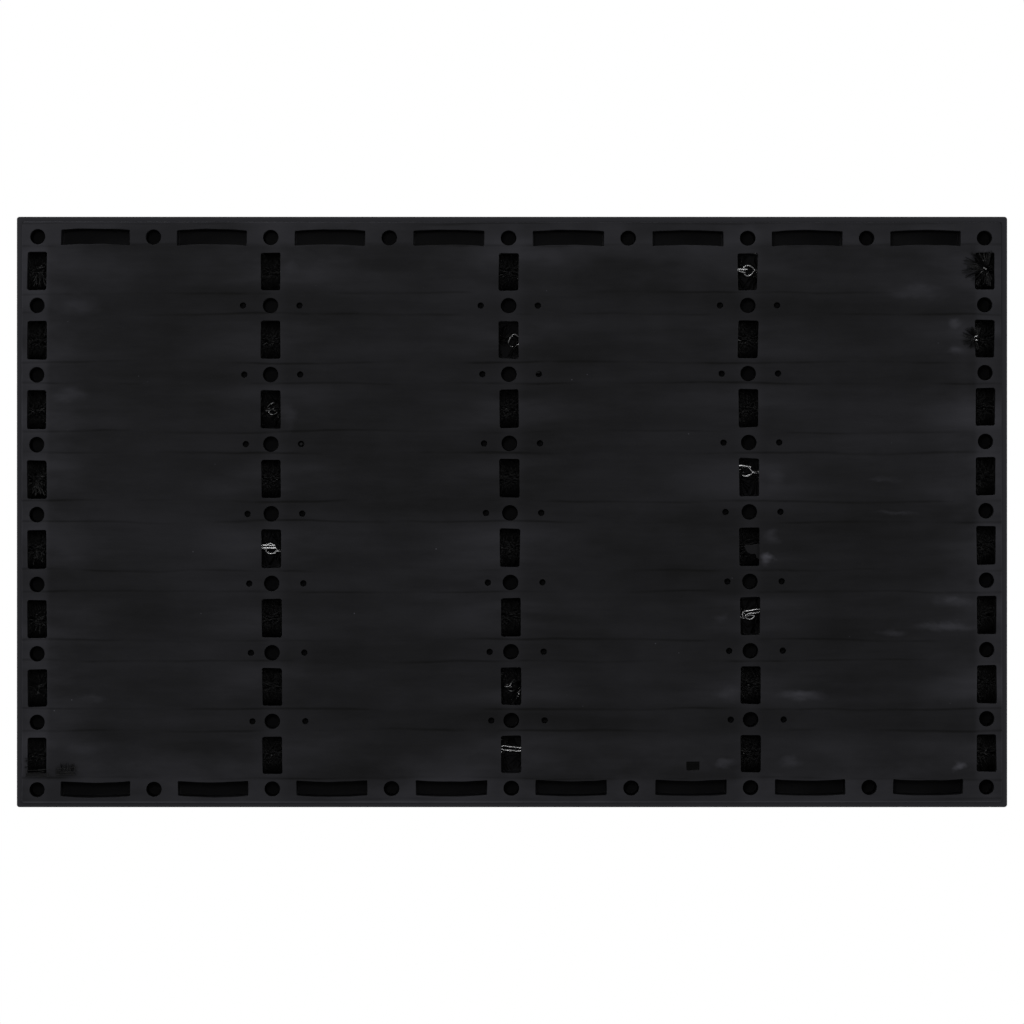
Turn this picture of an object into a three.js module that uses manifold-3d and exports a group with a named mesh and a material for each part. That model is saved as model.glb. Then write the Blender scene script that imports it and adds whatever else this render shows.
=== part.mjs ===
// A brush door mat, lying on the floor with its walking face up, in millimetres, +Z up.
// The origin is the middle of the underside. X runs along the mat's length and Y along its width.
//
// One black rubber moulding carries eight rows of twisted-in-wire brushes. Each row lies in channels
// between ribs, and runs through tunnels under three cross bars and into the border at both ends.
// A window under every tunnel opens to the underside. The thick places are cored out from below by
// round pockets and, along the two long borders, by long rail pockets. A row is two brushes: the
// first ends in cut wires that lie under the wire loop at the start of the second.
import * as THREE from "three";
import { mergeVertices } from "three/addons/utils/BufferGeometryUtils.js";
import Module from "manifold-3d";

// Overall sizes
const MAT_LENGTH = 750;
const MAT_WIDTH = 450;
const FRAME_HEIGHT = 20;
const BRISTLE_PROUD = 5; // how far the bristle tips stand above the frame

// The grid of bars and ribs
const COLUMNS = 4;
const ROWS = 8;
const GRID_INSET = 15; // from the mat's edge to the outermost grid lines
const BAR_WIDTH = 20;
const RIB_WIDTH = 16;
const WEB_THICKNESS = 3; // the channel floor

// The outer edge
const CORNER_RADIUS = 2;
const LIP_WIDTH = 3.5; // a shallow step round the underside
const LIP_DEPTH = 0.8;
const EDGE_HEIGHT = 4; // the upright part of the edge
const EDGE_SLOPE = 5; // how far the edge leans in above it

// Openings in the underside
const WINDOW_LENGTH = 15; // along X
const TUNNEL_WIDTH = 29; // along Y, as wide as the window under it
const TUNNEL_ROOF = 6; // rubber left over the tunnel
const ROUND_POCKET = 12; // diameter
const RAIL_POCKET_LENGTH = 53.5;
const RAIL_POCKET_WIDTH = 12;
const POCKET_ROOF = 5; // rubber left over the pockets
const PIN_HOLE = 5; // diameter
const PIN_HOLE_DEPTH = 8;
const PIN_NEAR = 21; // from a cross bar's middle, on its +X side, at the first rib
const PIN_NEAR_DRIFT = -1; // change at each further rib
const PIN_FAR = 22; // the same, on its -X side
const PIN_FAR_DRIFT = 0.5;
const PLUG_RECESS = { length: 10, width: 7, depth: 1.2, fromEnd: 238.5, fromSide: 32 };

// The brushes
const STRAND = 1.4; // wire diameter: the core is two strands twisted together
const LOOP_RADIUS = 4.3; // to the middle of the wire
const DIP_RUN = 7; // the stretch over which the cut end dips, to lie under the loop
const CUT_END_LAP = 1; // how far it reaches past the window's middle
const END_MARGIN = 2; // from the outermost bristles to the end of the tunnel
// The window line, counted from the +X end, where each row's two brushes meet
const MEETING_LINES = [3, 2, 1, 3, 1, 3, 2, 2];

const SOFT_GAP = 0.5; // between the bristles and the rubber
const WIRE_GAP = 0.4; // round the wires
const OVERSHOOT = 5; // how far a cutter runs past the face it opens

const COLUMN_PITCH = (MAT_LENGTH - 2 * GRID_INSET) / COLUMNS;
const ROW_PITCH = (MAT_WIDTH - 2 * GRID_INSET) / ROWS;
const CHANNEL_LENGTH = COLUMN_PITCH - BAR_WIDTH;
const CHANNEL_WIDTH = ROW_PITCH - RIB_WIDTH;
const ROOF_Z = FRAME_HEIGHT - TUNNEL_ROOF;
const POCKET_Z = FRAME_HEIGHT - POCKET_ROOF;
const WIRE_Z = (WEB_THICKNESS + ROOF_Z) / 2;
const CORE_RADIUS = STRAND;
const BORE_RADIUS = CORE_RADIUS + WIRE_GAP;
const DIP = CORE_RADIUS + STRAND / 2 + WIRE_GAP; // the cut end's depth under the loop

const lineX = (i) => MAT_LENGTH / 2 - GRID_INSET - i * COLUMN_PITCH;
const ribY = (j) => MAT_WIDTH / 2 - GRID_INSET - j * ROW_PITCH;
const rowY = (r) => ribY(r) - ROW_PITCH / 2;

const wasm = await Module();
wasm.setup();

const rubber = new THREE.MeshStandardMaterial({ color: 0x1d1d1f, roughness: 0.7, metalness: 0 });
const bristle = new THREE.MeshStandardMaterial({ color: 0x101011, roughness: 0.5, metalness: 0 });
const steel = new THREE.MeshStandardMaterial({ color: 0xb4b6b8, roughness: 0.35, metalness: 1 });

// A closed three.js geometry as a solid that can be joined and cut
function solid(geometry) {
  const bare = geometry.clone();
  bare.deleteAttribute("normal");
  bare.deleteAttribute("uv");
  const merged = mergeVertices(bare, 1e-4);
  return new wasm.Manifold(
    new wasm.Mesh({
      numProp: 3,
      vertProperties: new Float32Array(merged.attributes.position.array),
      triVerts: new Uint32Array(merged.index.array),
    }),
  );
}

function meshOf(made, name, material) {
  const { numProp, vertProperties, triVerts } = made.getMesh();
  const positions = new THREE.InterleavedBuffer(vertProperties, numProp);
  const geometry = new THREE.BufferGeometry();
  geometry.setAttribute("position", new THREE.InterleavedBufferAttribute(positions, 3, 0));
  geometry.setIndex(new THREE.BufferAttribute(new Uint32Array(triVerts), 1));
  const flat = geometry.toNonIndexed();
  flat.computeVertexNormals();
  const mesh = new THREE.Mesh(flat, material);
  mesh.name = name;
  return mesh;
}

// A box from one corner to the other
function block([x0, y0, z0], [x1, y1, z1]) {
  const box = new THREE.BoxGeometry(x1 - x0, y1 - y0, z1 - z0);
  return solid(box.translate((x0 + x1) / 2, (y0 + y1) / 2, (z0 + z1) / 2));
}

// A bar along X with the section's first axis across the mat and its second axis up
function along(shape, x0, x1, y, z, curveSegments) {
  const options = { depth: x1 - x0, bevelEnabled: false, curveSegments };
  const turn = new THREE.Matrix4().makeBasis(
    new THREE.Vector3(0, 1, 0),
    new THREE.Vector3(0, 0, 1),
    new THREE.Vector3(1, 0, 0),
  );
  const bar = new THREE.ExtrudeGeometry(shape, options).applyMatrix4(turn);
  return solid(bar.translate(x0, y, z));
}

function disc(radius) {
  const shape = new THREE.Shape();
  shape.absarc(0, 0, radius, 0, 2 * Math.PI);
  return shape;
}

// An upright round hole from below the underside up to a height
function roundHole(x, y, diameter, top, sides) {
  const height = top + OVERSHOOT;
  const hole = new THREE.CylinderGeometry(diameter / 2, diameter / 2, height, sides);
  return solid(hole.rotateX(Math.PI / 2).translate(x, y, top - height / 2));
}

// The rounded rectangle at an inset from the mat's edge
function outline(inset) {
  const x = MAT_LENGTH / 2 - inset;
  const y = MAT_WIDTH / 2 - inset;
  const r = CORNER_RADIUS;
  const shape = new THREE.Shape();
  shape.moveTo(r - x, -y);
  shape.absarc(x - r, r - y, r, -Math.PI / 2, 0);
  shape.absarc(x - r, y - r, r, 0, Math.PI / 2);
  shape.absarc(r - x, y - r, r, Math.PI / 2, Math.PI);
  shape.absarc(r - x, r - y, r, Math.PI, 1.5 * Math.PI);
  return shape;
}

// A slab with upright sides between two heights
function slab(inset, low, high) {
  const options = { depth: high - low, bevelEnabled: false, curveSegments: 2 };
  return solid(new THREE.ExtrudeGeometry(outline(inset), options).translate(0, 0, low));
}

// A bar along X whose section is a list of points: across the mat, then up
function prismX(points, x0, x1) {
  const shape = new THREE.Shape(points.map(([across, up]) => new THREE.Vector2(across, up)));
  return along(shape, x0, x1, 0, 0, 1);
}

// The section of the mat from one edge to the other: upright at the foot, then leaning in
function edgeSection(half) {
  return [
    [-half, 0],
    [half, 0],
    [half, EDGE_HEIGHT],
    [half - EDGE_SLOPE, FRAME_HEIGHT],
    [EDGE_SLOPE - half, FRAME_HEIGHT],
    [-half, EDGE_HEIGHT],
  ];
}

function mouldingBlank() {
  const [halfX, halfY] = [MAT_LENGTH / 2, MAT_WIDTH / 2];
  const acrossY = prismX(edgeSection(halfY), -halfX, halfX);
  const acrossX = prismX(edgeSection(halfX), -halfY, halfY).rotate([0, 0, 90]);
  const foot = slab(LIP_WIDTH, 0, EDGE_HEIGHT);
  return slab(0, LIP_DEPTH, FRAME_HEIGHT).intersect(acrossX).intersect(acrossY).add(foot);
}

// The channels that the brushes lie in
function channelCuts() {
  const cuts = [];
  for (let c = 0; c < COLUMNS; c++) {
    const x0 = lineX(c + 1) + BAR_WIDTH / 2;
    for (let r = 0; r < ROWS; r++) {
      cuts.push(
        block(
          [x0, rowY(r) - CHANNEL_WIDTH / 2, WEB_THICKNESS],
          [x0 + CHANNEL_LENGTH, rowY(r) + CHANNEL_WIDTH / 2, FRAME_HEIGHT + OVERSHOOT],
        ),
      );
    }
  }
  return cuts;
}

// The tunnels under the bars, and the windows below them
function tunnelCuts() {
  const cuts = [];
  const half = TUNNEL_WIDTH / 2;
  for (let r = 0; r < ROWS; r++) {
    const y = rowY(r);
    const end = lineX(0) + WINDOW_LENGTH / 2;
    cuts.push(block([-end, y - half, WEB_THICKNESS], [end, y + half, ROOF_Z]));
    for (let i = 0; i <= COLUMNS; i++) {
      const x = lineX(i);
      cuts.push(
        block(
          [x - WINDOW_LENGTH / 2, y - half, -OVERSHOOT],
          [x + WINDOW_LENGTH / 2, y + half, ROOF_Z],
        ),
      );
    }
  }
  return cuts;
}

// The pockets that core out the thick places from below
function pocketCuts() {
  const cuts = [];
  for (let j = 0; j <= ROWS; j++) {
    for (let i = 0; i <= COLUMNS; i++) {
      cuts.push(roundHole(lineX(i), ribY(j), ROUND_POCKET, POCKET_Z, 12));
    }
  }
  for (const y of [ribY(0), ribY(ROWS)]) {
    for (let c = 0; c < COLUMNS; c++) {
      const middle = lineX(c) - COLUMN_PITCH / 2;
      cuts.push(roundHole(middle, y, ROUND_POCKET, POCKET_Z, 12));
      for (const x of [middle - COLUMN_PITCH / 4, middle + COLUMN_PITCH / 4]) {
        cuts.push(
          block(
            [x - RAIL_POCKET_LENGTH / 2, y - RAIL_POCKET_WIDTH / 2, -OVERSHOOT],
            [x + RAIL_POCKET_LENGTH / 2, y + RAIL_POCKET_WIDTH / 2, POCKET_Z],
          ),
        );
      }
    }
  }
  return cuts;
}

// The small blind holes that the mould's pins leave in each rib, beside each inner bar
function pinCuts() {
  const cuts = [];
  for (let i = 1; i < COLUMNS; i++) {
    for (let j = 1; j < ROWS; j++) {
      const near = lineX(i) + PIN_NEAR + PIN_NEAR_DRIFT * (j - 1);
      const far = lineX(i) - PIN_FAR - PIN_FAR_DRIFT * (j - 1);
      for (const x of [near, far]) {
        cuts.push(roundHole(x, ribY(j), PIN_HOLE, PIN_HOLE_DEPTH, 6));
      }
    }
  }
  return cuts;
}

// The shallow blank recess of the mould's date plug
function plugCut() {
  const { length, width, depth, fromEnd, fromSide } = PLUG_RECESS;
  const x = fromEnd - MAT_LENGTH / 2;
  const y = fromSide - MAT_WIDTH / 2;
  return block(
    [x - length / 2, y - width / 2, -OVERSHOOT],
    [x + length / 2, y + width / 2, depth],
  );
}

function rubberMoulding() {
  const cuts = [...channelCuts(), ...tunnelCuts(), ...pocketCuts(), ...pinCuts(), plugCut()];
  return cuts.reduce((made, cut) => made.subtract(cut), mouldingBlank());
}

// The space that the bristles fill in a channel: flat on the floor and domed above the wire
function tuftSection() {
  const half = CHANNEL_WIDTH / 2 - SOFT_GAP;
  const floor = WEB_THICKNESS + SOFT_GAP - WIRE_Z;
  const top = FRAME_HEIGHT + BRISTLE_PROUD - WIRE_Z;
  const shape = new THREE.Shape();
  shape.moveTo(-half, floor);
  shape.lineTo(half, floor);
  shape.lineTo(half, 0);
  shape.absellipse(0, 0, half, top, 0, Math.PI);
  return shape;
}

// Where a brush's cut end has dipped far enough to pass under the next brush's loop
const dippedX = (to) => lineX(to) + LOOP_RADIUS + STRAND / 2 + WIRE_GAP;

// A brush's wire: the twisted core, the loop at its +X end, and the cut end that dips at the other
function wireCore(from, to, y) {
  const loopX = lineX(from);
  const dipX = dippedX(to) + DIP_RUN;
  const lowZ = WIRE_Z - DIP;
  const core = along(disc(CORE_RADIUS), dipX - STRAND / 2, loopX - LOOP_RADIUS, y, WIRE_Z, 3);
  const loop = solid(
    new THREE.TorusGeometry(LOOP_RADIUS, STRAND / 2, 5, 12).translate(loopX, y, WIRE_Z),
  );
  const path = new THREE.CubicBezierCurve3(
    new THREE.Vector3(dipX, y, WIRE_Z),
    new THREE.Vector3(dipX - DIP_RUN / 2, y, WIRE_Z),
    new THREE.Vector3(dipX - DIP_RUN / 2, y, lowZ),
    new THREE.Vector3(dippedX(to), y, lowZ),
  );
  const dip = new THREE.ExtrudeGeometry(disc(CORE_RADIUS), {
    extrudePath: path,
    steps: 4,
    curveSegments: 3,
  });
  const endX = lineX(to) - CUT_END_LAP;
  const cutEnd = along(disc(CORE_RADIUS), endX, dippedX(to) + STRAND / 2, y, lowZ, 3);
  return core.add(loop).add(solid(dip)).add(cutEnd);
}

// A brush's bristles, with room inside for its wire
function bristleBody(from, to, y) {
  const half = TUNNEL_WIDTH / 2 - SOFT_GAP;
  const clearOfLoop = LOOP_RADIUS + STRAND / 2 + SOFT_GAP;
  const outerReach = WINDOW_LENGTH / 2 - END_MARGIN;
  const start = from === 0 ? lineX(from) + outerReach : lineX(from) - clearOfLoop;
  const stop = to === COLUMNS ? lineX(to) - outerReach : lineX(to) + clearOfLoop;
  const low = WEB_THICKNESS + SOFT_GAP;
  const slot = LOOP_RADIUS + STRAND / 2 + WIRE_GAP;

  let body = block([stop, y - half, low], [start, y + half, ROOF_Z - SOFT_GAP]);
  for (let c = from; c < to; c++) {
    const x0 = lineX(c + 1) + BAR_WIDTH / 2 + SOFT_GAP;
    const x1 = lineX(c) - BAR_WIDTH / 2 - SOFT_GAP;
    body = body.add(along(tuftSection(), x0, x1, y, WIRE_Z, 6));
  }
  const bore = along(disc(BORE_RADIUS), stop - OVERSHOOT, start + OVERSHOOT, y, WIRE_Z, 3);
  const loopSlot = block(
    [lineX(from) - slot, y - slot, WIRE_Z - BORE_RADIUS],
    [start + OVERSHOOT, y + slot, WIRE_Z + BORE_RADIUS],
  );
  const cutEndSlot = block(
    [stop - OVERSHOOT, y - BORE_RADIUS, 0],
    [dippedX(to) + DIP_RUN + BORE_RADIUS, y + BORE_RADIUS, WIRE_Z + BORE_RADIUS],
  );
  return body.subtract(bore).subtract(loopSlot).subtract(cutEndSlot);
}

const mat = new THREE.Group();
mat.add(meshOf(rubberMoulding(), "rubber_moulding", rubber));
MEETING_LINES.forEach((meeting, r) => {
  const y = rowY(r);
  const brushes = [
    ["first", 0, meeting],
    ["second", meeting, COLUMNS],
  ];
  for (const [which, from, to] of brushes) {
    const row = `row${r + 1}_${which}`;
    mat.add(meshOf(wireCore(from, to, y), `brush_wire_${row}`, steel));
    mat.add(meshOf(bristleBody(from, to, y), `bristles_${row}`, bristle));
  }
});

export default mat;
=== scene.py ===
from math import copysign, cos, exp, pi, radians, sin

import bmesh
import bpy
import numpy as np
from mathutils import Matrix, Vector, noise


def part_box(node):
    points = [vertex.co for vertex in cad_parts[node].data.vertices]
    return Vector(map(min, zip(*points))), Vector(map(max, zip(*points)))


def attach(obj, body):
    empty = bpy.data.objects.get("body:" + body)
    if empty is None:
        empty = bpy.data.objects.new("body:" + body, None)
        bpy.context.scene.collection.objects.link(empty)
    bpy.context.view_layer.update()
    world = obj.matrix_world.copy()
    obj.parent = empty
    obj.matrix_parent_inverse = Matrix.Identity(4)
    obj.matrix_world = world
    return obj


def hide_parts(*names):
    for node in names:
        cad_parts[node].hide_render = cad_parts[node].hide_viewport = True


# A brush door mat lying on its underside, +Z up to the walking face, in metres. The CAD model fixes
# every size below that it holds: the mat's box, the rows, and where each brush begins and ends.
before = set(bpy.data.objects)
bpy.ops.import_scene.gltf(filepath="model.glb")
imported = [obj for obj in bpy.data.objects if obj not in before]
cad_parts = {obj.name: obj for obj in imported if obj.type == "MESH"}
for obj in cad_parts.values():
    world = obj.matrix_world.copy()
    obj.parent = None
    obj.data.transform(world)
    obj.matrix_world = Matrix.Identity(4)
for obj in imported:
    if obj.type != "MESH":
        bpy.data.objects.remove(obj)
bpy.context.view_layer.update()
scene = bpy.context.scene


# ---- Studio ----------------------------------
# The mat is looked at from straight below, against a plain bright surround. Large soft lamps below
# rake across the underside from its four sides, and three above light the walking face.
class Link:
    """One output of a node. Arithmetic on it adds Math nodes to the same tree."""

    def __init__(self, tree, socket=None):
        self.tree = tree
        self.socket = socket

    def node(self, kind, inputs=(), output=0, **settings):
        """A new node, with its settings, and then its sockets' values or links."""
        made = self.tree.nodes.new(kind)
        for name, value in settings.items():
            setattr(made, name, value)
        for name, value in dict(inputs).items():
            if isinstance(value, Link):
                self.tree.links.new(value.socket, made.inputs[name])
            else:
                made.inputs[name].default_value = value
        return Link(self.tree, made.outputs[output] if made.outputs else None)

    def maths(self, operation, *others):
        """A Math node on this value and others."""
        return self.node("ShaderNodeMath", dict(enumerate((self, *others))), operation=operation)

    def __add__(self, other):
        return self.maths("ADD", other)

    __radd__ = __add__

    def __sub__(self, other):
        return self.maths("SUBTRACT", other)

    def __rsub__(self, number):
        return self.node("ShaderNodeMath", {0: number, 1: self}, operation="SUBTRACT")

    def __mul__(self, other):
        return self.maths("MULTIPLY", other)

    def __truediv__(self, other):
        return self.maths("DIVIDE", other)

    def part(self, k):
        """This vector's X, Y or Z."""
        return self.node("ShaderNodeSeparateXYZ", {0: self}, output=k)

    def spread(self, low, high):
        """0 where this value is low, 1 where it is high, and a smooth step between."""
        ends = {"Value": self, "From Min": low, "From Max": high}
        return self.node("ShaderNodeMapRange", ends, interpolation_type="SMOOTHSTEP")

    def noise(self, scale, detail, **more):
        """Soft noise over this place."""
        return self.node("ShaderNodeTexNoise", {"Vector": self, "Scale": scale, "Detail": detail, **more})

    def between(self, dark, light, **settings):
        """A colour this share of the way from one to another."""
        colours = {0: self, 6: (*dark, 1), 7: (*light, 1)}
        return self.node("ShaderNodeMix", colours, output=2, data_type="RGBA", **settings)

    def surface(self, values):
        """Makes a principled shader of these values the material's surface."""
        self.node("ShaderNodeOutputMaterial", {"Surface": self.node("ShaderNodeBsdfPrincipled", values)})


def material_named(name):
    """An empty node material, and a link to start its tree from."""
    material = bpy.data.materials.new(name)
    material.use_nodes = True
    material.node_tree.nodes.clear()
    return material, Link(material.node_tree)


def new_object(name, data):
    """An object in the scene, at the origin."""
    made = bpy.data.objects.new(name, data)
    scene.collection.objects.link(made)
    return made


SURROUND = 1.0  # what the camera sees round the mat
AMBIENT = 0.11  # what the mat itself is lit by, so that the black rubber isn't veiled by reflections

world = bpy.data.worlds.new("surround")
world.use_nodes = True
world.node_tree.nodes.clear()
scene.world = world
scene.view_settings.view_transform = "Standard"
sky = Link(world.node_tree)
seen = sky.node("ShaderNodeLightPath", output="Is Camera Ray")
strength = seen * (SURROUND - AMBIENT) + AMBIENT
sky = sky.node("ShaderNodeBackground", {"Color": (1, 1, 1, 1), "Strength": strength})
sky.node("ShaderNodeOutputWorld", {"Surface": sky})

# The camera: a long lens under the mat's middle, with the mat's length level
VIEW_WIDTH = 0.7752  # how much of the underside's plane the camera takes in
VIEW_Y = -0.0002
LENS = 135.0
camera = new_object("camera", bpy.data.cameras.new("camera"))
scene.camera = camera
camera.data.lens = LENS
camera.location = (0, VIEW_Y, -VIEW_WIDTH * LENS / camera.data.sensor_width)
camera.rotation_euler = (0, pi, 0)
camera.data.clip_end = 100


def softbox(name, place, size, power):
    """A square area lamp that faces the mat's middle."""
    lamp = bpy.data.lights.new(name, "AREA")
    lamp.size = size
    lamp.energy = power
    made = new_object(name, lamp)
    made.location = place
    made.rotation_euler = (-Vector(place)).to_track_quat("-Z", "Y").to_euler()


softbox("below_left", (2.3, 0.6, -0.95), 0.9, 11)
softbox("below_right", (-2.3, 0.4, -0.95), 0.9, 10.5)
softbox("below_top", (0.3, 2.2, -1.0), 0.9, 10)
softbox("below_bottom", (-0.4, -2.2, -1.0), 0.9, 8)
softbox("below_front", (0.25, 0.4, -2.2), 0.4, 2.2)
softbox("above_key", (-1.0, -1.1, 1.6), 0.9, 44)
softbox("above_fill", (1.4, 0.6, 1.5), 1.6, 26)
softbox("above_back", (0.3, 1.8, 0.9), 1.2, 24)

# The floor shows only from above, doesn't block the lamps below it, and fades into the surround
FLOOR_Z = -0.0015
FLOOR_REACH = 8.0
FLOOR_FADE = (0.5, 1.6)  # how far from the mat's middle the fading starts and ends
floor_sheet = bpy.data.meshes.new("floor")
corners = [(x * FLOOR_REACH, y * FLOOR_REACH, FLOOR_Z) for x, y in ((-1, -1), (1, -1), (1, 1), (-1, 1))]
floor_sheet.from_pydata(corners, [], [(0, 1, 2, 3)])
floor = new_object("floor", floor_sheet)
floor.visible_shadow = False
floor.visible_diffuse = False
floor.visible_glossy = False
paint, nodes = material_named("pale_floor")
upper = nodes.node("ShaderNodeBsdfDiffuse", {"Color": (0.82, 0.82, 0.82, 1)})
lower = nodes.node("ShaderNodeBsdfTransparent")
back = nodes.node("ShaderNodeNewGeometry", output="Backfacing")
place = nodes.node("ShaderNodeTexCoord", output="Object")
away = nodes.node("ShaderNodeVectorMath", {0: place}, output="Value", operation="LENGTH")
faded = away.spread(*FLOOR_FADE)
hidden = back.maths("MAXIMUM", faded)
sheet = nodes.node("ShaderNodeMixShader", {0: hidden, 1: upper, 2: lower})
nodes.node("ShaderNodeOutputMaterial", {"Surface": sheet})
floor_sheet.materials.append(paint)


# ---- Rubber moulding -------------------------
# One piece of black rubber, pressed in a two-part mould: the face's channels and grooves come from
# the upper half, and the windows, pockets and pin holes from the lower. Every edge has a small radius.
low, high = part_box("rubber_moulding")
LENGTH, WIDTH, HEIGHT = high - low
COLUMNS = 4
ROWS = 8
GRID_INSET = 0.015  # from the mat's edge to the outermost grid lines
BAR_WIDTH = 0.020
RIB_WIDTH = 0.016
WEB = 0.003  # the rubber under a channel
ROOF = 0.014  # the height of the tunnels' roofs
TUNNEL_WIDTH = 0.029
WINDOW_LENGTH = 0.015
LIP_WIDTH = 0.0035
LIP_DEPTH = 0.0008
EDGE_HEIGHT = 0.004
EDGE_SLOPE = 0.005
CORNER = 0.002
CROWN = 0.0015  # the radius along the top of the outer edge
EASE = 0.0006  # the radius on every other moulded edge
THROUGH = 0.002  # how far a cutter starts outside the face that it opens

column_pitch = (LENGTH - 2 * GRID_INSET) / COLUMNS
row_pitch = (WIDTH - 2 * GRID_INSET) / ROWS
line_x = [LENGTH / 2 - GRID_INSET - i * column_pitch for i in range(COLUMNS + 1)]
rib_y = [WIDTH / 2 - GRID_INSET - j * row_pitch for j in range(ROWS + 1)]
row_y = [rib_y[r] - row_pitch / 2 for r in range(ROWS)]
channel_length = column_pitch - BAR_WIDTH
channel_width = row_pitch - RIB_WIDTH
column_x = [line_x[c] - column_pitch / 2 for c in range(COLUMNS)]


def quarter(steps):
    """The angles from 0 to a right angle."""
    return [k / steps * pi / 2 for k in range(steps + 1)]


def rounded_ring(centre, half, radius, z, corner_steps=6):
    """The points of a rounded rectangle at a height, anticlockwise."""
    radius = max(min(radius, *half), 0.0002)
    points = []
    for corner, (sx, sy) in enumerate([(1, 1), (-1, 1), (-1, -1), (1, -1)]):
        for turn in quarter(corner_steps):
            angle = corner * pi / 2 + turn
            x = centre[0] + sx * (half[0] - radius) + radius * cos(angle)
            y = centre[1] + sy * (half[1] - radius) + radius * sin(angle)
            points.append(Vector((x, y, z)))
    return points


def loft(bm, rings):
    """A closed body through rings of points that run from one end to the other."""
    loops = [[bm.verts.new(p) for p in ring] for ring in rings]
    count = len(loops[0])
    for below, above in zip(loops, loops[1:]):
        for k in range(count):
            after = (k + 1) % count
            bm.faces.new((below[k], below[after], above[after], above[k]))
    bm.faces.new(list(reversed(loops[0])))
    bm.faces.new(loops[-1])


def bodies(name, lofts):
    """A mesh object of closed bodies that don't meet each other."""
    bm = bmesh.new()
    for rings in lofts:
        loft(bm, rings)
    bmesh.ops.recalc_face_normals(bm, faces=bm.faces)
    mesh = bpy.data.meshes.new(name)
    bm.to_mesh(mesh)
    bm.free()
    return new_object(name, mesh)


def flat_mesh(thing):
    """Turns what an object's modifiers make into its own mesh, and removes them."""
    depsgraph = bpy.context.evaluated_depsgraph_get()
    made = bpy.data.meshes.new_from_object(thing.evaluated_get(depsgraph))
    thing.modifiers.clear()
    thing.data = made


def mould(target, tool, operation="DIFFERENCE"):
    """Cuts a tool's bodies out of the target, or joins them to it."""
    modifier = target.modifiers.new("mould", "BOOLEAN")
    modifier.operation = operation
    modifier.solver = "MANIFOLD"
    modifier.object = tool
    flat_mesh(target)
    bpy.data.objects.remove(tool)


def recess(depth, ease=EASE, floor_ease=0.0012):
    """A recess's profile from its mouth inwards, as (how far it is widened, how deep it is)."""
    profile = [(ease, -THROUGH)]
    profile += [(ease * (1 - sin(a)), ease * (1 - cos(a))) for a in quarter(4)]
    for a in quarter(3):
        profile.append((floor_ease * (cos(a) - 1), depth - floor_ease * (1 - sin(a))))
    return profile


def from_below(centre, half, radius, depth, corner_steps=6, shape=None, **eases):
    """The rings of a recess in the underside. shape moves each point a little, as hand-cut tools do."""
    rings = []
    for widen, deep in recess(depth, **eases):
        grown = (half[0] + widen, half[1] + widen)
        ring = rounded_ring(centre, grown, radius + widen, deep, corner_steps)
        rings.append([shape(p) for p in ring] if shape else ring)
    return rings


def outer_rings():
    """The moulding's outside: a shallow lip, an upright foot, a side that leans in, a rounded top."""
    profile = [(LIP_WIDTH + EASE / 2, 0), (LIP_WIDTH, EASE / 2), (LIP_WIDTH, LIP_DEPTH)]
    profile += [(EASE * (1 - sin(a)), LIP_DEPTH + EASE * (1 - cos(a))) for a in quarter(4)]
    profile += [(0, EDGE_HEIGHT)]
    lean = EDGE_SLOPE / (HEIGHT - EDGE_HEIGHT)
    shoulder = lean * (HEIGHT - EDGE_HEIGHT - CROWN)
    for a in quarter(5):
        profile.append((shoulder + CROWN * (1 - cos(a)), HEIGHT - CROWN * (1 - sin(a))))
    return [rounded_ring((0, 0), (LENGTH / 2 - i, WIDTH / 2 - i), CORNER, z) for i, z in profile]


noise.seed_set(4)  # noise_vector is offset by this seed, and by the time of day without one


def hand_cut(point):
    """The slight waviness of the window inserts, which were filed by hand."""
    shift = noise.noise_vector(point * 90) * 0.0007 + noise.noise_vector(point * 260) * 0.0002
    return point + Vector((shift.x, shift.y, 0))


# How far the soft rubber has drawn away from the drawing's grid since it was pressed, in millimetres:
# the powers of x and y (as shares of DRAWN_REACH), and the shift along x and y that goes with them.
# The edges stay straight, though the two long ones have come in a little.
DRAWN_REACH = 0.360
DRAWN = [
    (0, 0, 1.58, -0.92),
    (0, 1, 3.00, 1.38),
    (0, 2, -0.07, -0.36),
    (0, 3, -3.64, -12.6),
    (1, 0, 2.88, -1.39),
    (1, 1, -0.88, 1.29),
    (1, 2, -1.18, 3.68),
    (2, 0, -1.12, 0.18),
    (2, 1, -1.37, 0.51),
    (3, 0, -3.57, -0.11),
]
DRAWN_EDGES = [(0.0, 0.0), (0.00125, -0.00159)]  # each axis's shift at its lower and upper edge
EDGE_BAND = 0.008  # how wide a strip along an edge moves with the edge


def settle(thing):
    """Moves an object's points as the rubber has drawn, with the mat's outline left straight."""
    count = len(thing.data.vertices)
    points = np.empty(count * 3)
    thing.data.vertices.foreach_get("co", points)
    points = points.reshape(count, 3)
    x, y = points[:, 0] / DRAWN_REACH, points[:, 1] / DRAWN_REACH
    shift = [sum(row[2 + axis] * x ** row[0] * y ** row[1] for row in DRAWN) / 1000 for axis in (0, 1)]
    for axis, half in ((0, LENGTH / 2), (1, WIDTH / 2)):
        inside = np.clip((half - np.abs(points[:, axis])) / EDGE_BAND, 0, 1)
        inside = inside * inside * (3 - 2 * inside)
        edge = np.where(points[:, axis] < 0, *DRAWN_EDGES[axis])
        points[:, axis] += shift[axis] * inside + edge * (1 - inside)
    thing.data.vertices.foreach_set("co", points.ravel())
    thing.data.update()


moulding = bodies("rubber_mat", [outer_rings()])

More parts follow.
